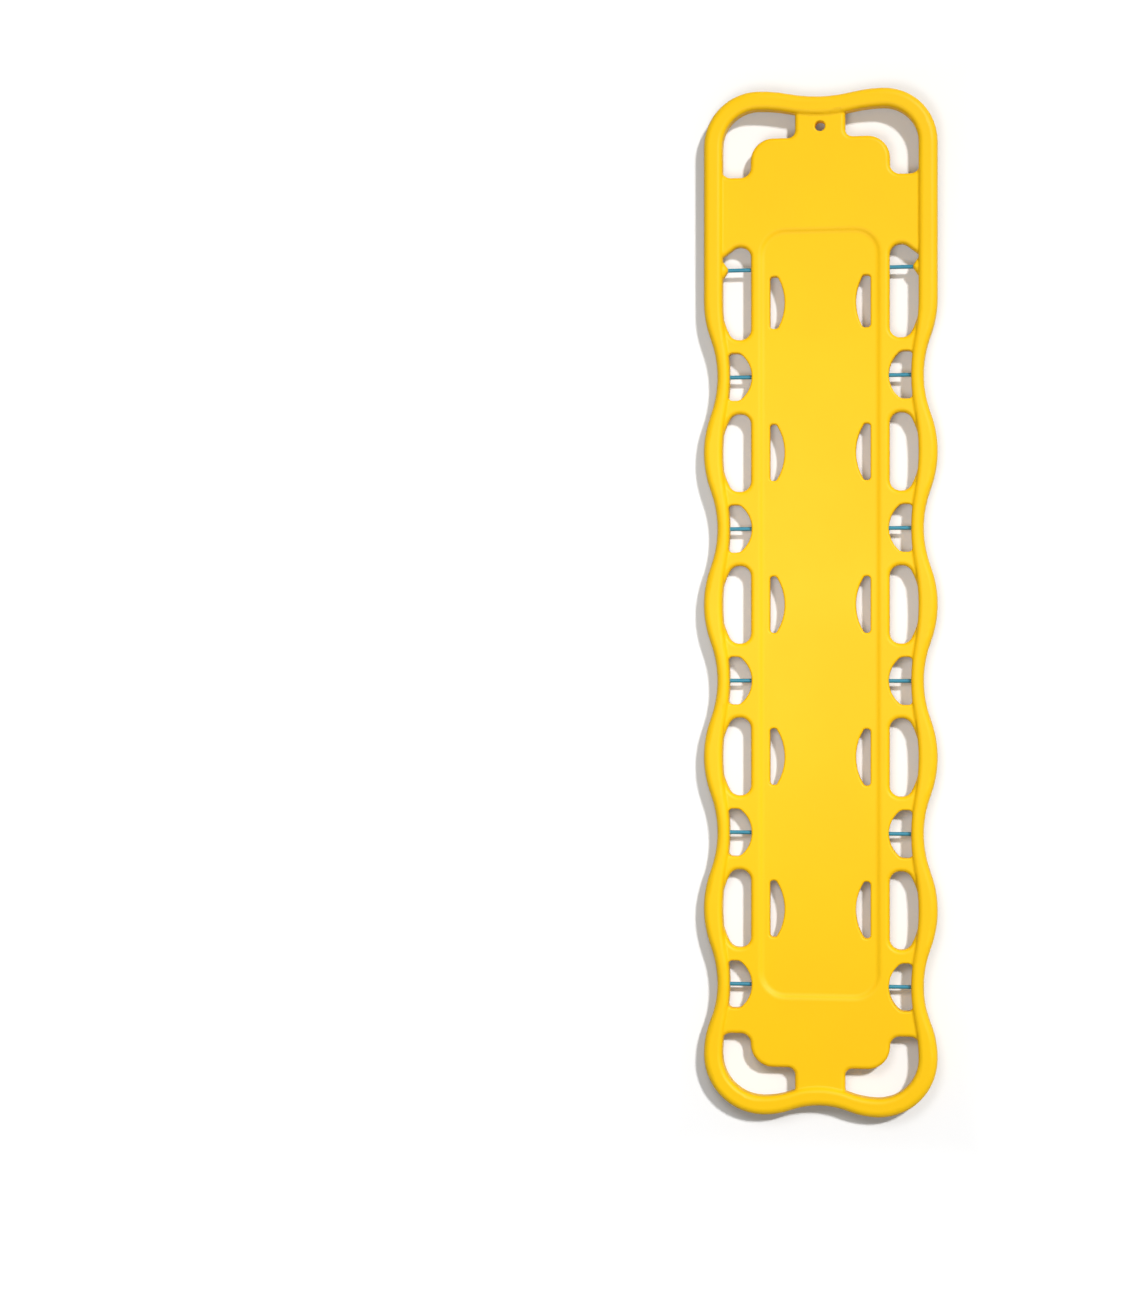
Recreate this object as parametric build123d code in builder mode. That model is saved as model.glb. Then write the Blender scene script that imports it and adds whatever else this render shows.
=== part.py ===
from build123d import *
import math
import os

# A full-length spine board: a hollow moulded skin with a tubular rim, filled with foam.
# The board lies flat, face up. +Z is up, +Y points to the head end, and the origin is under
# the centre of the board, on the surface that its runners rest on. Lengths are millimetres.

# Overall outline
board_length = 1830.0
board_width = 416.0  # over the bulges beside the handholds
waist_depth = 24.5  # how far each waist lies inside the bulges
pitch = 272.0  # from one handhold to the next
middle_handhold_y = -3.0
head_corner_radius = 97.0
foot_corner_radius = 106.0
head_dip = 12.0  # depth of the hollow between the two head corners
foot_dip = 18.5

# Tubular rim
rim_top = 45.0
rim_bottom = 8.0
rim_width = 33.5  # beside the handholds and round the ends
rim_waist_width = 22.0  # beside the strap pins
rim_outer_round = 12.0
rim_inner_round = 9.5

# Plate between the rims
plate_top = 38.0
plate_bottom = 12.0
plate_tuck = 12.5  # how far the plate's edge lies inside the rim's outer face
ledge = 2.5  # how far a hole beside the rim runs on under the rim
seam_round = 5.0  # where the plate meets the rim

# Skin and core
wall = 3.5
foam_gap = 0.3

# Handholds, one at each bulge
handhold_inner_x = 123.5
handhold_length = 139.0
handhold_bow_radius = 125.0
handhold_corner = 19.0
handhold_edge = 8.0

# Strap pin windows, one at each waist
window_inner_x = 122.0
window_length = 85.0
window_bow_radius = 52.0
window_outer_corner = 8.0
window_inner_corner = 14.0
window_edge = 4.0

# Head bay: the first handhold and its strap pin share one opening
bay_pin_y = 597.0
bay_head_y = 637.5
bay_crown_x = 150.0
bay_shoulder_y = 617.0
bay_shoulder_round = 3.0
boss_x = 163.0
boss_half_height = 20.0
boss_round = 8.0

# Inner strap slots, beside each handhold
slot_outer_x = 89.5
slot_width = 26.0
slot_length = 101.0
slot_bow_radius = 92.0
slot_corner = 6.0
slot_edge = 4.0
head_slot_cut_back = 8.0

# Corner grips
grip_end_x = 44.7
grip_side_x = 124.0
head_grip_inner_y = 831.0
head_grip_end_y = 762.0
foot_grip_inner_y = 830.0
foot_grip_end_y = 771.0
grip_turn_radius = 40.0
grip_end_corner = 13.0
grip_tip_corner = 18.0

# Hanging hole
hanging_hole_y = 850.0
hanging_hole_radius = 9.0
hanging_hole_edge = 3.0

# Dish in the patient side
dish_depth = 4.0
dish_half_width = 108.0
dish_head_y = 668.0
dish_foot_y = -706.0
dish_corner = 40.0
dish_slope = 30.0  # degrees from level
dish_blend = 14.0

# Runners under the board
runner_x = 40.0
runner_width = 32.0
runner_length = 1240.0
runner_draft = 12.0
runner_edge = 5.0
runner_foot_round = 4.0

# Strap pins
pin_radius = 3.5
pin_grip = 12.0  # how far each end runs into the board
pin_chamfer = 0.6
pin_clearance = 0.1

# Stiffening rods in the foam
rod_radius = 6.0
rod_x = 51.0
rod_length = 1400.0
rod_chamfer = 1.0

# Plugs that close the foam filling hole and its vent, in the underside
plug_ys = {"fill": -765.0, "vent": 745.0}
plug_head_radius = 14.0
plug_shank_radius = 10.0
plug_shank_length = 9.0
plug_seat = 1.5  # skin left under the plug's head
plug_clearance = 0.15
plug_socket_radius = 5.0  # corner radius of the hexagonal socket in its head
plug_socket_depth = 5.0

half_length = board_length / 2
half_width = board_width / 2
sides = {"left": -1, "right": 1}
through = 2 * rim_top
mid_height = (plate_top + plate_bottom) / 2
rod_height = (plate_top - dish_depth + plate_bottom) / 2
handhold_ys = [middle_handhold_y + pitch * k for k in (2, 1, 0, -1, -2)]
waist_ys = [middle_handhold_y + pitch * (k + 0.5) for k in (1, 0, -1, -2, -3)]
pin_ys = [bay_pin_y] + waist_ys
rim_inner_x = half_width - rim_width
rim_waist_inner_x = half_width - waist_depth - rim_waist_width


def s_curve(start, end, heading):
    """Two equal tangent arcs from start to end, leaving and arriving along heading."""
    middle = (Vector(*start) + Vector(*end)) / 2
    first = TangentArc(start, middle, tangent=heading)
    TangentArc(middle, end, tangent=first % 1)


def outline(inset, waist_inset):
    """The board's wavy outline, moved inward by inset, and by waist_inset at the waists."""
    bulge_x = half_width - inset
    waist_x = half_width - waist_depth - waist_inset
    head_y = half_length - inset
    foot_y = -half_length + inset
    head_radius = head_corner_radius - inset
    foot_radius = foot_corner_radius - inset
    stops = [(bulge_x, handhold_ys[0])]
    for waist_y, next_bulge_y in zip(waist_ys, handhold_ys[1:] + [foot_y + foot_radius]):
        stops.append((waist_x, waist_y))
        stops.append((bulge_x, next_bulge_y))
    with BuildSketch() as shape:
        with BuildLine():
            s_curve((0, head_y - head_dip), (bulge_x - head_radius, head_y), (1, 0))
            TangentArc((bulge_x - head_radius, head_y), (bulge_x, head_y - head_radius), tangent=(1, 0))
            Line((bulge_x, head_y - head_radius), stops[0])
            for start, end in zip(stops, stops[1:]):
                s_curve(start, end, (0, -1))
            TangentArc(stops[-1], (bulge_x - foot_radius, foot_y), tangent=(0, -1))
            s_curve((bulge_x - foot_radius, foot_y), (0, foot_y + foot_dip), (-1, 0))
            Line((0, foot_y + foot_dip), (0, head_y - head_dip))
        make_face()
        mirror(about=Plane.YZ)
    return shape.sketch


def bowed_hole(straight_x, bow_x, low_y, high_y, bow_radius, straight_corner, bow_corner):
    """A D-shaped hole: one straight long side, one bowed long side, rounded corners."""
    half = (high_y - low_y) / 2
    middle_y = (high_y + low_y) / 2
    outward = 1 if bow_x > straight_x else -1
    end_x = bow_x - outward * (bow_radius - (bow_radius**2 - half**2) ** 0.5)
    with BuildSketch() as shape:
        with BuildLine():
            Polyline((end_x, low_y), (straight_x, low_y), (straight_x, high_y), (end_x, high_y))
            ThreePointArc((end_x, high_y), (bow_x, middle_y), (end_x, low_y))
        make_face()
        fillet(shape.vertices().filter_by_position(Axis.X, straight_x - 0.01, straight_x + 0.01), straight_corner)
        fillet(shape.vertices().filter_by_position(Axis.X, end_x - 0.01, end_x + 0.01), bow_corner)
    return shape.sketch


def handhold(y, grow):
    return bowed_hole(
        handhold_inner_x - grow,
        rim_inner_x + ledge + grow,
        y - handhold_length / 2 - grow,
        y + handhold_length / 2 + grow,
        handhold_bow_radius + grow,
        handhold_corner + grow,
        handhold_corner + grow,
    )


def pin_window(y, grow):
    return bowed_hole(
        rim_waist_inner_x + ledge + grow,
        window_inner_x - grow,
        y - window_length / 2 - grow,
        y + window_length / 2 + grow,
        window_bow_radius + grow,
        window_outer_corner + grow,
        window_inner_corner + grow,
    )


def strap_slot(y, grow):
    cut_back = head_slot_cut_back if y == handhold_ys[0] else 0.0
    return bowed_hole(
        slot_outer_x + grow,
        slot_outer_x - slot_width - grow,
        y - slot_length / 2 - grow,
        y + slot_length / 2 - cut_back + grow,
        slot_bow_radius + grow,
        slot_corner + grow,
        slot_corner + grow,
    )


def head_bay(grow):
    """The head bay: a handhold run on to its strap pin, with the pin's boss left in its outer side."""
    side_x = rim_inner_x + ledge + grow
    bow_y = handhold_ys[0]
    foot_y = bow_y - handhold_length / 2 - grow
    head_y = bay_head_y + grow
    bow = handhold_bow_radius + grow
    end_x = side_x - (bow - (bow**2 - (bow_y - foot_y) ** 2) ** 0.5)
    inner_x = handhold_inner_x - grow
    round_corners = [
        ((inner_x, foot_y), handhold_corner + grow),
        ((end_x, foot_y), handhold_corner + grow),
        ((inner_x, head_y), handhold_corner + grow),
        ((bay_crown_x, head_y), handhold_corner + grow),
        ((side_x, bay_shoulder_y + grow), bay_shoulder_round + grow),
        ((boss_x + grow, bay_pin_y), boss_round - grow),
        ((side_x, bay_pin_y - boss_half_height), handhold_corner + grow),
    ]
    with BuildSketch() as shape:
        with BuildLine():
            Polyline(
                (side_x, bow_y),
                (side_x, bay_pin_y - boss_half_height),
                (boss_x + grow, bay_pin_y),
                (side_x, bay_shoulder_y + grow),
                (bay_crown_x, head_y),
                (inner_x, head_y),
                (inner_x, foot_y),
                (end_x, foot_y),
            )
            TangentArc((side_x, bow_y), (end_x, foot_y), tangent=(0, -1))
        make_face()
        for point, radius in round_corners:
            fillet(shape.vertices().sort_by_distance(point)[0], radius)
    return shape.sketch


def corner_grip(end_y, inner_y, board_end_y, corner_radius, grow):
    """A boomerang-shaped grip round one corner; the rim trims its outer side."""
    up = 1 if board_end_y > 0 else -1
    side_x = rim_inner_x + ledge + grow
    outer_y = board_end_y - up * (rim_width - ledge - grow)
    inner_y = inner_y - up * grow
    end_y = end_y - up * grow
    round_corners = [
        ((grip_end_x - grow, inner_y), grip_end_corner + grow),
        ((grip_side_x - grow, inner_y), grip_turn_radius - grow),
        ((grip_side_x - grow, end_y), grip_tip_corner + grow),
        ((side_x, end_y), grip_tip_corner + grow),
        ((side_x, outer_y), corner_radius - rim_width + grow),
        ((grip_end_x - grow, outer_y), grip_end_corner + grow),
    ]
    with BuildSketch() as shape:
        with BuildLine():
            Polyline([point for point, radius in round_corners], close=True)
        make_face()
        for point, radius in round_corners:
            fillet(shape.vertices().sort_by_distance(point)[0], radius)
    return shape.sketch


def rim_side_holes(grow):
    """The openings that the rim borders: handholds, head bay and corner grips, on both sides."""
    with BuildSketch() as holes:
        for y in handhold_ys[1:]:
            add(handhold(y, grow))
        add(head_bay(grow))
        add(corner_grip(head_grip_end_y, head_grip_inner_y, half_length, head_corner_radius, grow))
        add(corner_grip(-foot_grip_end_y, -foot_grip_inner_y, -half_length, foot_corner_radius, grow))
        mirror(about=Plane.YZ)
    return holes.sketch


def row_of_holes(hole, ys, grow):
    """One kind of hole at each y, on both sides."""
    with BuildSketch() as holes:
        for y in ys:
            add(hole(y, grow))
        mirror(about=Plane.YZ)
    return holes.sketch


def at_heights(edges, *heights):
    """The edges that lie level at one of the heights."""
    return [e for z in heights for e in edges.filter_by_position(Axis.Z, z - 0.001, z + 0.001)]


def ease(edges, radius):
    """Round edges by radius, unless the skin's thickness leaves too little of it to mould."""
    if radius > 0.3:
        fillet(edges, radius)


def moulding(inset):
    """The moulded body between its two rims, as a solid; inset moves every face inward.

    An inset of nothing gives the outside of the board, and the wall's thickness its hollow.
    """
    top = plate_top - inset
    bottom = plate_bottom + inset
    dish_floor = top - dish_depth
    dish_spread = inset * math.tan(math.radians(dish_slope / 2))
    dish_run = dish_depth / math.tan(math.radians(dish_slope))
    cutters = {
        "sides": rim_side_holes(inset),
        "windows": row_of_holes(pin_window, waist_ys, inset),
        "slots": row_of_holes(strap_slot, handhold_ys, inset),
    }
    plate_outline = outline(plate_tuck, plate_tuck)
    outer_line = outline(inset, inset)
    inner_line = outline(rim_width - inset, rim_waist_width - inset)

    with BuildPart() as rim:
        with BuildSketch(Plane.XY.offset(rim_bottom + inset)):
            add(outer_line)
            add(inner_line, mode=Mode.SUBTRACT)
        extrude(amount=rim_top - rim_bottom - 2 * inset)
        ends = rim.faces().filter_by(Plane.XY)
        fillet([e for end in ends for e in end.outer_wire().edges()], rim_outer_round - inset)
        ends = rim.faces().filter_by(Plane.XY)
        fillet([e for end in ends for e in end.inner_wires().edges()], rim_inner_round - inset)

    with BuildPart() as body:
        with BuildSketch(Plane.XY.offset(bottom)):
            add(plate_outline)
        extrude(amount=top - bottom)

        # Dish, with its sloping sides blended in at the floor and at the brim
        with BuildSketch(Plane.XY.offset(dish_floor)):
            with Locations((0, (dish_head_y + dish_foot_y) / 2)):
                RectangleRounded(
                    2 * (dish_half_width + dish_spread - dish_run),
                    dish_head_y - dish_foot_y + 2 * (dish_spread - dish_run),
                    dish_corner,
                )
        extrude(amount=dish_depth, taper=dish_slope - 90, mode=Mode.SUBTRACT)
        fillet(at_heights(body.edges(Select.LAST), top, dish_floor), dish_blend)

        # Runners
        with BuildSketch(Plane.XY.offset(inset)):
            with Locations((-runner_x, 0), (runner_x, 0)):
                SlotOverall(runner_length - 2 * inset, runner_width - 2 * inset, rotation=90)
        extrude(amount=bottom - inset, taper=-runner_draft)
        fillet(at_heights(body.edges(Select.LAST), bottom), runner_foot_round)
        ease(at_heights(body.edges(), inset), runner_edge - inset)

        # Openings
        with BuildSketch():
            add(cutters["sides"])
        extrude(amount=through, mode=Mode.SUBTRACT)
        ease(at_heights(body.edges(Select.LAST), top, bottom), handhold_edge - inset)
        with BuildSketch():
            add(cutters["windows"])
        extrude(amount=through, mode=Mode.SUBTRACT)
        ease(at_heights(body.edges(Select.LAST), top, bottom), window_edge - inset)
        with BuildSketch():
            add(cutters["slots"])
        extrude(amount=through, mode=Mode.SUBTRACT)
        ease(at_heights(body.edges(Select.LAST), dish_floor, bottom), slot_edge - inset)
        with BuildSketch():
            with Locations((0, hanging_hole_y)):
                Circle(hanging_hole_radius + inset)
        extrude(amount=through, mode=Mode.SUBTRACT)
        ease(at_heights(body.edges(Select.LAST), top, bottom), hanging_hole_edge - inset)

        add(rim.part)
        seam = body.edges(Select.NEW)
        if inset == 0:
            fillet(seam, seam_round)
    return body.part


def side_spots(x, y, z):
    """The same place on the left and on the right."""
    return {name: (side * x, y, z) for name, side in sides.items()}


def crosswise(radius, length, spot):
    """A round bar from side to side at spot."""
    with BuildPart() as bar:
        with Locations(spot):
            Cylinder(radius, length, rotation=(0, 90, 0))
    return bar.part


def lengthwise(radius, length, spot):
    """A round bar from head to foot at spot."""
    with BuildPart() as bar:
        with Locations(spot):
            Cylinder(radius, length, rotation=(90, 0, 0))
    return bar.part


def plug_form(y, clearance):
    """A plug, head down in the underside; clearance widens it to the room that it needs."""
    head = wall - plug_seat
    with BuildPart() as body:
        with BuildSketch(Plane.XY.offset(plate_bottom)):
            with Locations((0, y)):
                Circle(plug_head_radius + clearance)
        extrude(amount=head)
        with BuildSketch(Plane.XY.offset(plate_bottom)):
            with Locations((0, y)):
                Circle(plug_shank_radius + clearance)
        extrude(amount=head + plug_shank_length + clearance)
    return body.part


# Where the loose pieces lie
pin_length = rim_waist_inner_x - window_inner_x + 2 * pin_grip
window_pin_x = (rim_waist_inner_x + window_inner_x) / 2
bay_pin_x = (boss_x + handhold_inner_x) / 2
pin_spots = {}
for number, y in enumerate([bay_pin_y] + waist_ys, start=1):
    for name, spot in side_spots(bay_pin_x if number == 1 else window_pin_x, y, mid_height).items():
        pin_spots[f"strap_pin_{name}_{number}"] = spot
rod_spots = {f"stiffening_rod_{name}": spot for name, spot in side_spots(rod_x, 0, rod_height).items()}

outside = moulding(0)
hollow = moulding(wall)
core = moulding(wall + foam_gap)

with BuildPart() as board_shell:
    add(outside)
    add(hollow, mode=Mode.SUBTRACT)
    add([crosswise(pin_radius + pin_clearance, pin_length, spot) for spot in pin_spots.values()], mode=Mode.SUBTRACT)
    add([plug_form(y, plug_clearance) for y in plug_ys.values()], mode=Mode.SUBTRACT)

with BuildPart() as foam_core:
    add(core)
    add([crosswise(pin_radius + foam_gap, pin_length + 2 * foam_gap, spot) for spot in pin_spots.values()], mode=Mode.SUBTRACT)
    add([lengthwise(rod_radius + foam_gap, rod_length + 2 * foam_gap, spot) for spot in rod_spots.values()], mode=Mode.SUBTRACT)
    add([plug_form(y, foam_gap) for y in plug_ys.values()], mode=Mode.SUBTRACT)

pieces = {"board_shell": board_shell.part, "foam_core": foam_core.part}

for name, spot in rod_spots.items():
    with BuildPart() as rod:
        add(lengthwise(rod_radius, rod_length, spot))
        chamfer(rod.edges().filter_by(GeomType.CIRCLE), rod_chamfer)
    pieces[name] = rod.part

for name, spot in pin_spots.items():
    with BuildPart() as pin:
        add(crosswise(pin_radius, pin_length, spot))
        chamfer(pin.edges().filter_by(GeomType.CIRCLE), pin_chamfer)
    pieces[name] = pin.part

for name, y in plug_ys.items():
    with BuildPart() as plug:
        add(plug_form(y, 0))
        with BuildSketch(Plane.XY.offset(plate_bottom)):
            with Locations((0, y)):
                RegularPolygon(plug_socket_radius, 6)
        extrude(amount=plug_socket_depth, mode=Mode.SUBTRACT)
    pieces[f"{name}_plug"] = plug.part

os.makedirs("parts", exist_ok=True)
for name, piece in pieces.items():
    piece.label = name
    export_step(piece, f"parts/{name}.step")
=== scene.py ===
import math

import bpy
import numpy as np
from mathutils import Matrix, Vector

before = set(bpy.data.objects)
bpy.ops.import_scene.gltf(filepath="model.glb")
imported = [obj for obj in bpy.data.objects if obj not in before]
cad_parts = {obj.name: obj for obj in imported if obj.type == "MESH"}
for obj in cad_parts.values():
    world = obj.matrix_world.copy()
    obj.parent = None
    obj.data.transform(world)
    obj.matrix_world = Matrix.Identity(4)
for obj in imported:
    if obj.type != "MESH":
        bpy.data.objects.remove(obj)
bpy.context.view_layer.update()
print("frame loaded:", len(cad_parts), "nodes")

# Node groups that more than one finish uses


def newGroup(name, inputs, outputs):
    group = bpy.data.node_groups.new(name, "ShaderNodeTree")
    for label, kind, value in inputs:
        socketType = "NodeSocket" + kind
        socket = group.interface.new_socket(name=label, in_out="INPUT", socket_type=socketType)
        if value is not None:
            socket.default_value = value
    for label, kind in outputs:
        group.interface.new_socket(name=label, in_out="OUTPUT", socket_type="NodeSocket" + kind)
    return group, group.nodes.new("NodeGroupInput"), group.nodes.new("NodeGroupOutput")


def link(tree, source, target):
    tree.links.new(source, target)


def noise(tree, vector, scale, detail):
    node = tree.nodes.new("ShaderNodeTexNoise")
    node.inputs["Detail"].default_value = detail
    link(tree, vector, node.inputs["Vector"])
    if isinstance(scale, (int, float)):
        node.inputs["Scale"].default_value = scale
    else:
        link(tree, scale, node.inputs["Scale"])
    return node.outputs["Fac"]


def maths(tree, operation, first, second=None, clamp=False):
    node = tree.nodes.new("ShaderNodeMath")
    node.operation = operation
    node.use_clamp = clamp
    for socket, value in zip(node.inputs, (first, second)):
        if value is None:
            continue
        if isinstance(value, (int, float)):
            socket.default_value = value
        else:
            link(tree, value, socket)
    return node.outputs[0]


def spread(tree, value, low, high):
    node = tree.nodes.new("ShaderNodeMapRange")
    node.interpolation_type = "SMOOTHSTEP"
    node.inputs["From Min"].default_value = low
    node.inputs["From Max"].default_value = high
    link(tree, value, node.inputs["Value"])
    return node.outputs["Result"]


# How the mould's pebble is mixed from a fine noise and a slower ripple, and where its clouds begin and end
skinShape = {"pebbleShare": 0.35, "rippleShare": 0.65, "rippleScale": 0.12, "cloudFrom": 0.3, "cloudTo": 0.7}
# How the scratches are stretched and turned, and where hairs and patches begin and end
scuffShape = {
    "turn": 0.6, "stretch": (900.0, 45.0, 300.0),
    "hairFrom": 0.62, "hairTo": 0.74, "patchFrom": 0.48, "patchTo": 0.72,
}


def mouldSkinGroup():
    # the fine pebble that a mould leaves, and slow clouds where the resin cooled unevenly
    tree, start, end = newGroup(
        "mouldSkin",
        [("Vector", "Vector", None), ("Pebble", "Float", 400.0), ("Cloud", "Float", 4.0)],
        [("Height", "Float"), ("Clouds", "Float")],
    )
    pebble = noise(tree, start.outputs["Vector"], start.outputs["Pebble"], 2.0)
    rippleScale = maths(tree, "MULTIPLY", start.outputs["Pebble"], skinShape["rippleScale"])
    ripple = noise(tree, start.outputs["Vector"], rippleScale, 1.0)
    cloud = noise(tree, start.outputs["Vector"], start.outputs["Cloud"], 3.0)
    pebbleHeight = maths(tree, "MULTIPLY", pebble, skinShape["pebbleShare"])
    rippleHeight = maths(tree, "MULTIPLY", ripple, skinShape["rippleShare"])
    link(tree, maths(tree, "ADD", pebbleHeight, rippleHeight), end.inputs["Height"])
    link(tree, spread(tree, cloud, skinShape["cloudFrom"], skinShape["cloudTo"]), end.inputs["Clouds"])
    return tree


def fineScuffsGroup():
    # hair scratches: a noise stretched along one direction, let through in patches
    tree, start, end = newGroup(
        "fineScuffs",
        [("Vector", "Vector", None), ("Patch", "Float", 12.0), ("Amount", "Float", 0.5)],
        [("Mask", "Float")],
    )
    squeeze = tree.nodes.new("ShaderNodeMapping")
    squeeze.inputs["Rotation"].default_value = (0.0, 0.0, scuffShape["turn"])
    squeeze.inputs["Scale"].default_value = scuffShape["stretch"]
    link(tree, start.outputs["Vector"], squeeze.inputs["Vector"])
    hairNoise = noise(tree, squeeze.outputs["Vector"], 1.0, 2.0)
    hairs = spread(tree, hairNoise, scuffShape["hairFrom"], scuffShape["hairTo"])
    patchNoise = noise(tree, start.outputs["Vector"], start.outputs["Patch"], 2.0)
    patches = spread(tree, patchNoise, scuffShape["patchFrom"], scuffShape["patchTo"])
    mask = maths(tree, "MULTIPLY", maths(tree, "MULTIPLY", hairs, patches), start.outputs["Amount"])
    link(tree, mask, end.inputs["Mask"])
    return tree


mouldSkin = mouldSkinGroup()
fineScuffs = fineScuffsGroup()


def newMaterial(name):
    material = bpy.data.materials.new(name)
    material.use_nodes = True
    tree = material.node_tree
    shader = tree.nodes["Principled BSDF"]
    place = tree.nodes.new("ShaderNodeTexCoord").outputs["Object"]
    return material, tree, shader, place


def placed(tree, group, place, **values):
    node = tree.nodes.new("ShaderNodeGroup")
    node.node_tree = group
    link(tree, place, node.inputs["Vector"])
    for label, value in values.items():
        node.inputs[label].default_value = value
    return node


def mixedColour(tree, mask, low, high):
    node = tree.nodes.new("ShaderNodeMix")
    node.data_type = "RGBA"
    link(tree, mask, node.inputs["Factor"])
    for socket, colour in ((node.inputs["A"], low), (node.inputs["B"], high)):
        if isinstance(colour, tuple):
            socket.default_value = (*colour, 1.0)
        else:
            link(tree, colour, socket)
    return node.outputs["Result"]


def addBump(tree, shader, height, strength, distance):
    bump = tree.nodes.new("ShaderNodeBump")
    bump.inputs["Strength"].default_value = strength
    bump.inputs["Distance"].default_value = distance
    link(tree, height, bump.inputs["Height"])
    link(tree, bump.outputs["Normal"], shader.inputs["Normal"])


# Moulded plastic finishes: the skin, the pins and the plugs
skinFinish = {
    "colour": (0.965, 0.575, 0.0015), "cloudColour": (0.955, 0.555, 0.0015), "scuffColour": (0.97, 0.62, 0.02),
    "specular": 0.25, "roughness": 0.47, "roughnessSpread": 0.04, "scuffRoughness": 0.1,
    "pebble": 420.0, "cloud": 5.0, "scuffPatch": 9.0, "scuffAmount": 0.3,
    "bumpStrength": 0.18, "bumpDistance": 0.0004,
}
pinFinish = {
    "colour": (0.035, 0.26, 0.38), "cloudColour": (0.03, 0.23, 0.35), "scuffColour": (0.12, 0.4, 0.5),
    "specular": 0.5, "roughness": 0.36, "roughnessSpread": 0.05, "scuffRoughness": 0.15,
    "pebble": 900.0, "cloud": 40.0, "scuffPatch": 60.0, "scuffAmount": 0.3,
    "bumpStrength": 0.15, "bumpDistance": 0.0002,
}
plugFinish = {
    "colour": (0.95, 0.54, 0.0015), "cloudColour": (0.93, 0.52, 0.0015), "scuffColour": (0.97, 0.62, 0.02),
    "specular": 0.3, "roughness": 0.42, "roughnessSpread": 0.05, "scuffRoughness": 0.15,
    "pebble": 900.0, "cloud": 40.0, "scuffPatch": 60.0, "scuffAmount": 0.3,
    "bumpStrength": 0.15, "bumpDistance": 0.0002,
}


def plasticMaterial(name, finish):
    material, tree, shader, place = newMaterial(name)
    skin = placed(tree, mouldSkin, place, Pebble=finish["pebble"], Cloud=finish["cloud"])
    scuffs = placed(tree, fineScuffs, place, Patch=finish["scuffPatch"], Amount=finish["scuffAmount"])
    clouded = mixedColour(tree, skin.outputs["Clouds"], finish["colour"], finish["cloudColour"])
    colour = mixedColour(tree, scuffs.outputs["Mask"], clouded, finish["scuffColour"])
    link(tree, colour, shader.inputs["Base Color"])
    dull = maths(tree, "MULTIPLY", skin.outputs["Clouds"], finish["roughnessSpread"])
    worn = maths(tree, "MULTIPLY", scuffs.outputs["Mask"], finish["scuffRoughness"])
    roughness = maths(tree, "ADD", maths(tree, "ADD", dull, worn), finish["roughness"])
    link(tree, roughness, shader.inputs["Roughness"])
    shader.inputs["Specular IOR Level"].default_value = finish["specular"]
    addBump(tree, shader, skin.outputs["Height"], finish["bumpStrength"], finish["bumpDistance"])
    return material


# Finishes of what the skin hides: the foam core and the rods
# the foam's darker colour at the bottoms of its cell pits is painted shade
foamFinish = {
    "colour": (0.82, 0.7, 0.42), "pitShadeColour": (0.66, 0.5, 0.22), "cells": 260.0, "cellReach": 0.7,
    "roughness": 0.92, "bumpStrength": 0.5, "bumpDistance": 0.001,
}
rodFinish = {
    "colour": (0.045, 0.045, 0.05), "fibreColour": (0.13, 0.13, 0.14), "fibres": 1400.0, "fibreLength": 200,
    "roughness": 0.4, "bumpStrength": 0.3, "bumpDistance": 0.0002,
}


def foamMaterial(finish):
    material, tree, shader, place = newMaterial("foamBody")
    cells = tree.nodes.new("ShaderNodeTexVoronoi")
    cells.inputs["Scale"].default_value = finish["cells"]
    link(tree, place, cells.inputs["Vector"])
    depth = spread(tree, cells.outputs["Distance"], 0.0, finish["cellReach"])
    # painted shade: the foam is coloured darker in its cell pits, where the bump makes recesses
    colour = mixedColour(tree, depth, finish["pitShadeColour"], finish["colour"])
    link(tree, colour, shader.inputs["Base Color"])
    shader.inputs["Roughness"].default_value = finish["roughness"]
    addBump(tree, shader, depth, finish["bumpStrength"], finish["bumpDistance"])
    return material


def rodMaterial(finish):
    material, tree, shader, place = newMaterial("drawnRod")
    squeeze = tree.nodes.new("ShaderNodeMapping")
    across, along = finish["fibres"], finish["fibres"] / finish["fibreLength"]
    squeeze.inputs["Scale"].default_value = (across, along, across)
    link(tree, place, squeeze.inputs["Vector"])
    fibres = noise(tree, squeeze.outputs["Vector"], 1.0, 3.0)
    colour = mixedColour(tree, fibres, finish["colour"], finish["fibreColour"])
    link(tree, colour, shader.inputs["Base Color"])
    shader.inputs["Roughness"].default_value = finish["roughness"]
    addBump(tree, shader, fibres, finish["bumpStrength"], finish["bumpDistance"])
    return material


finishes = {
    "board_shell": plasticMaterial("yellowSkin", skinFinish),
    "strap_pin": plasticMaterial("tealPin", pinFinish),
    "plug": plasticMaterial("yellowPlug", plugFinish),
    "foam_core": foamMaterial(foamFinish),
    "stiffening_rod": rodMaterial(rodFinish),
}
for nodeName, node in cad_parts.items():
    for part, material in finishes.items():
        if part in nodeName:
            node.data.materials.clear()
            node.data.materials.append(material)
print("finishes:", len(finishes))

# Floor: white, carried on far past the view. Camera and mirror rays see it lifted,
# more so away from the board.
floorValues = {
    "half": 30.0, "colour": (0.88, 0.88, 0.88), "bounceColour": (0.3, 0.3, 0.3), "roughness": 0.8,
    "liftNear": 0.08, "liftFar": 0.6, "nearHalfWidth": 0.24, "nearHalfLength": 0.94, "fade": 0.3,
}


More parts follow.
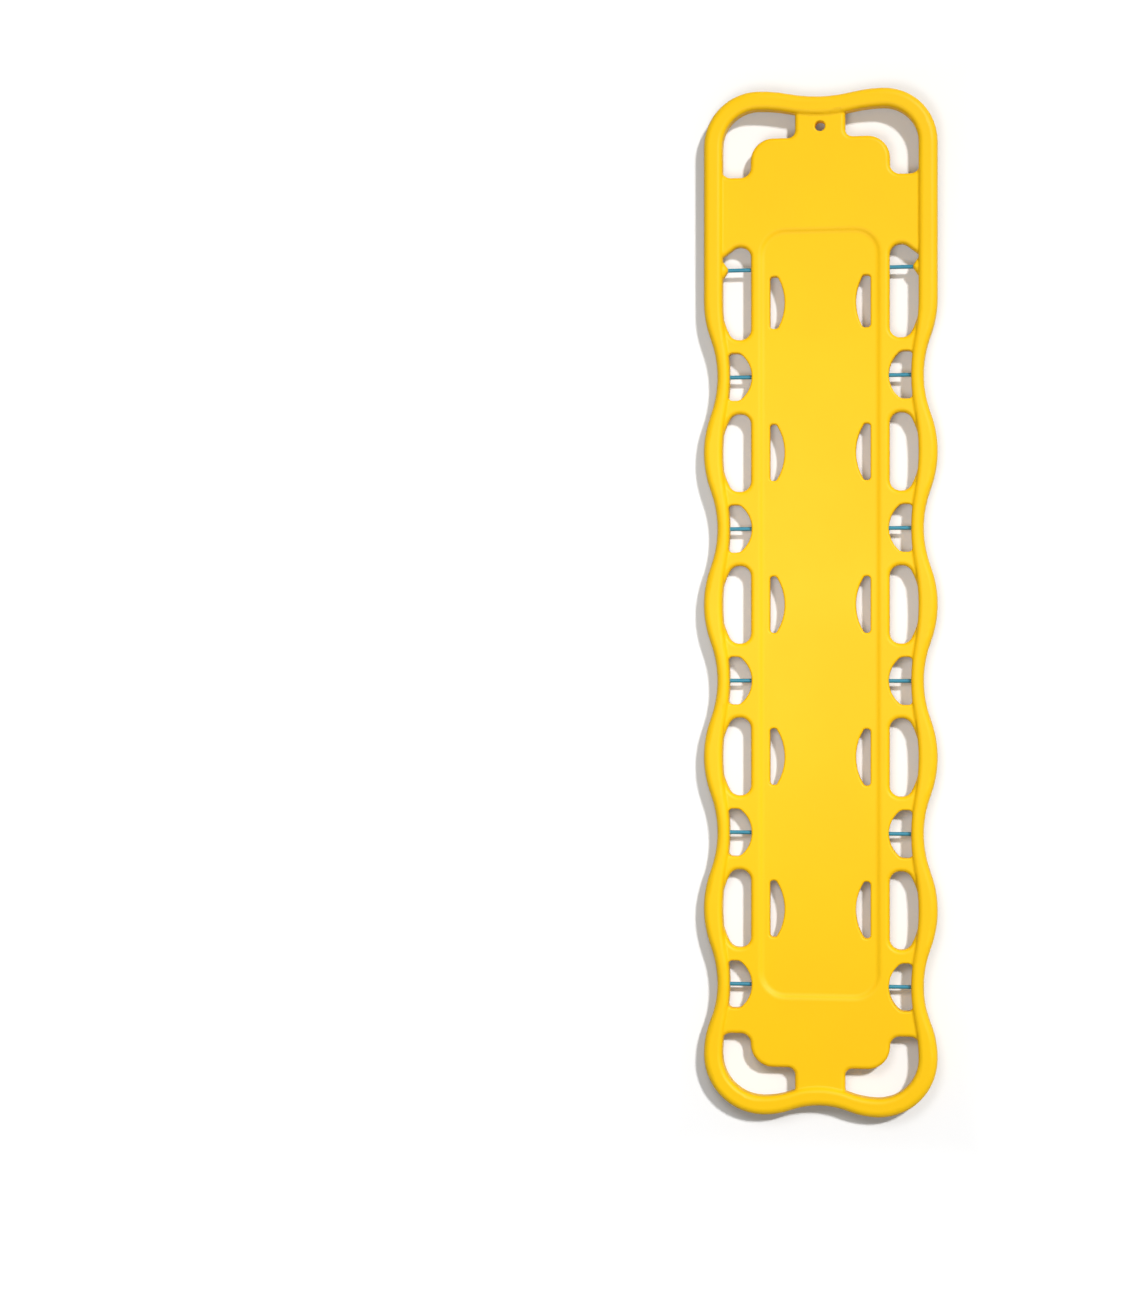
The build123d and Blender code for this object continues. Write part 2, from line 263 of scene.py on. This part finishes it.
def layFloor(values):
    corners = np.array([(-1, -1, 0), (1, -1, 0), (1, 1, 0), (-1, 1, 0)]) * values["half"]
    mesh = bpy.data.meshes.new("whiteFloor")
    mesh.from_pydata(corners.tolist(), [], [(0, 1, 2, 3)])
    floor = bpy.data.objects.new("whiteFloor", mesh)
    bpy.context.scene.collection.objects.link(floor)
    material, tree, shader, place = newMaterial("whiteFloor")
    path = tree.nodes.new("ShaderNodeLightPath")
    seen = maths(tree, "MAXIMUM", path.outputs["Is Camera Ray"], path.outputs["Is Glossy Ray"])
    link(tree, mixedColour(tree, seen, values["bounceColour"], values["colour"]), shader.inputs["Base Color"])
    shader.inputs["Roughness"].default_value = values["roughness"]
    shader.inputs["Specular IOR Level"].default_value = 0.0
    shader.inputs["Emission Color"].default_value = (1.0, 1.0, 1.0, 1.0)
    split = tree.nodes.new("ShaderNodeSeparateXYZ")
    link(tree, place, split.inputs["Vector"])
    away = 0.0
    for axis, half in (("X", values["nearHalfWidth"]), ("Y", values["nearHalfLength"])):
        past = maths(tree, "SUBTRACT", maths(tree, "ABSOLUTE", split.outputs[axis]), half)
        away = maths(tree, "MAXIMUM", past, away)
    far = spread(tree, away, 0.0, values["fade"])
    lift = maths(tree, "MULTIPLY", far, values["liftFar"] - values["liftNear"])
    lift = maths(tree, "ADD", lift, values["liftNear"])
    link(tree, maths(tree, "MULTIPLY", seen, lift), shader.inputs["Emission Strength"])
    mesh.materials.append(material)


layFloor(floorValues)

# Lights: a key from the upper right, a soft box above the board's left, and a dim room
keyLight = {"azimuth": 45.0, "elevation": 53.0, "strength": 2.5, "angle": 5.0, "distance": 5.0}
topBox = {"place": (-0.22, 0.06, 1.6), "size": 0.7, "power": 9.0}
roomLight = {"level": 0.32, "zenith": 0.1, "zenithFrom": 0.5}


def addSun(values):
    lamp = bpy.data.lights.new("keyLight", "SUN")
    lamp.energy = values["strength"]
    lamp.angle = math.radians(values["angle"])
    sun = bpy.data.objects.new("keyLight", lamp)
    azimuth, elevation = math.radians(values["azimuth"]), math.radians(values["elevation"])
    level = math.cos(elevation)
    towards = Vector((math.cos(azimuth) * level, math.sin(azimuth) * level, math.sin(elevation)))
    sun.location = towards * values["distance"]
    sun.rotation_euler = towards.to_track_quat("Z", "Y").to_euler()
    bpy.context.scene.collection.objects.link(sun)


def addTopBox(values):
    lamp = bpy.data.lights.new("topBox", "AREA")
    lamp.energy = values["power"]
    lamp.size = values["size"]
    box = bpy.data.objects.new("topBox", lamp)
    box.location = values["place"]
    box.visible_camera = False
    bpy.context.scene.collection.objects.link(box)


def lightRoom(values):
    # the room is brighter at the sides and dark overhead; the camera sees plain white
    world = bpy.data.worlds.new("room")
    bpy.context.scene.world = world
    world.use_nodes = True
    tree = world.node_tree
    back = tree.nodes["Background"]
    direction = tree.nodes.new("ShaderNodeTexCoord").outputs["Generated"]
    split = tree.nodes.new("ShaderNodeSeparateXYZ")
    link(tree, direction, split.inputs["Vector"])
    overhead = spread(tree, split.outputs["Z"], values["zenithFrom"], 1.0)
    dimming = maths(tree, "MULTIPLY", overhead, values["level"] - values["zenith"])
    level = maths(tree, "SUBTRACT", values["level"], dimming)
    path = tree.nodes.new("ShaderNodeLightPath")
    strength = tree.nodes.new("ShaderNodeMix")
    link(tree, path.outputs["Is Camera Ray"], strength.inputs["Factor"])
    link(tree, level, strength.inputs["A"])
    strength.inputs["B"].default_value = 1.0
    link(tree, strength.outputs["Result"], back.inputs["Strength"])
    back.inputs["Color"].default_value = (1.0, 1.0, 1.0, 1.0)


addSun(keyLight)
addTopBox(topBox)
lightRoom(roomLight)

# Camera: high over the board's right side, turned a little to the left
cameraValues = {"place": (0.349, -0.084, 5.0), "lookAt": (-0.466, -0.084, 0.0), "lens": 77.0}


def addCamera(values):
    lens = bpy.data.cameras.new("camera")
    lens.lens = values["lens"]
    camera = bpy.data.objects.new("camera", lens)
    place = Vector(values["place"])
    back = (place - Vector(values["lookAt"])).normalized()
    up = Vector((0.0, 1.0, 0.0))
    right = up.cross(back).normalized()
    up = back.cross(right)
    camera.matrix_world = Matrix((
        (right.x, up.x, back.x, place.x),
        (right.y, up.y, back.y, place.y),
        (right.z, up.z, back.z, place.z),
        (0.0, 0.0, 0.0, 1.0),
    ))
    bpy.context.scene.collection.objects.link(camera)
    bpy.context.scene.camera = camera


addCamera(cameraValues)
bpy.context.scene.view_settings.view_transform = "Standard"
print("stage, lights and camera placed")
